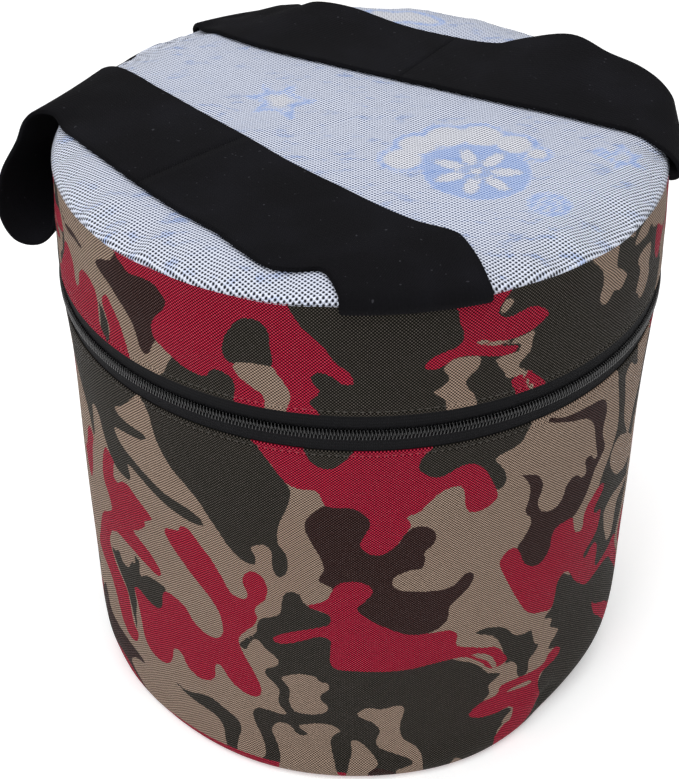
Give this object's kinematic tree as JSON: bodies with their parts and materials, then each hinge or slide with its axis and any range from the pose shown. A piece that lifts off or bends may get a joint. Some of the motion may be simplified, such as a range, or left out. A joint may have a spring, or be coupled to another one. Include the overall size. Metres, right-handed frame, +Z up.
{
  "type": "round padded drum bag",
  "caption": "Round padded drum bag with a crowned zip-round lid on a cloth hinge and flat carry handles sewn across its top.",
  "frame": {"origin": "centre of the underside, on the floor", "axes": "+Z up through the lid, +Y towards the cloth hinge at the back, +X to the right as seen from the front"},
  "size_m": [0.3323, 0.2836, 0.2905],
  "materials": {
    "printed_cloth": "printed woven oxford cloth in four colours",
    "top_mesh_cloth": "jacquard mesh cloth, white and pale blue",
    "handle_cloth": "matt black knitted strap",
    "zip_tape": "black woven tape",
    "zip_coil": "black nylon coil",
    "slider_metal": "black enamel",
    "foam": "expanded foam sheet",
    "lining_cloth": "thin woven lining",
    "binding_tape": "folded seam tape",
    "thread": "polyester thread"
  },
  "bodies": {
    "tub": {"body_outer_panel": "printed_cloth", "body_foam_wall": "foam", "body_lining": "lining_cloth", "bottom_panel": "printed_cloth", "bottom_foam_pad": "foam", "bottom_lining": "lining_cloth", "bottom_seam_binding": "binding_tape", "zip_tape_lower": "zip_tape", "zip_coil_lower": "zip_coil", "topstitch_lower": "thread", "back_hinge_panel": "printed_cloth"},
    "lid": {"lid_side_panel": "printed_cloth", "lid_band_foam": "foam", "lid_band_lining": "lining_cloth", "lid_top_panel": "top_mesh_cloth", "lid_top_foam": "foam", "lid_top_lining": "lining_cloth", "lid_rim_binding": "binding_tape", "zip_tape_upper": "zip_tape", "zip_coil_upper": "zip_coil", "topstitch_upper": "thread", "handle_front_tab": "handle_cloth", "handle_front_loop": "handle_cloth", "handle_back_tab": "handle_cloth", "handle_back_loop": "handle_cloth"},
    "slider": {"slider_body": "slider_metal"},
    "pull": {"pull_tab": "slider_metal"},
    "front_handle": {"handle_front_grip": "handle_cloth"},
    "back_handle": {"handle_back_grip": "handle_cloth"}
  },
  "joints": [
    {"name": "lid_hinge", "type": "hinge", "parent": "tub", "child": "lid", "pos_m": [0, 0.1435, 0.22], "axis": [-1, 0, 0], "range_deg": [0, 175], "deforming": ["back_hinge_panel", "zip_tape_upper", "zip_coil_upper"]},
    {"name": "zip_travel", "type": "hinge", "parent": "tub", "child": "slider", "pos_m": [0, 0, 0.22], "axis": [0, 0, 1], "range_deg": [0, 290], "deforming": ["zip_coil_lower"]},
    {"name": "pull_swing", "type": "hinge", "parent": "slider", "child": "pull", "pos_m": [-0.08397, 0.11992, 0.22], "axis": [0.8192, 0.5736, 0], "range_deg": [0, 150]},
    {"name": "front_handle_lift", "type": "slide", "parent": "lid", "child": "front_handle", "axis": [0, 0, 1], "range_m": [0, 0.06]},
    {"name": "back_handle_lift", "type": "slide", "parent": "lid", "child": "back_handle", "axis": [0, 0, 1], "range_m": [0, 0.06]}
  ]
}
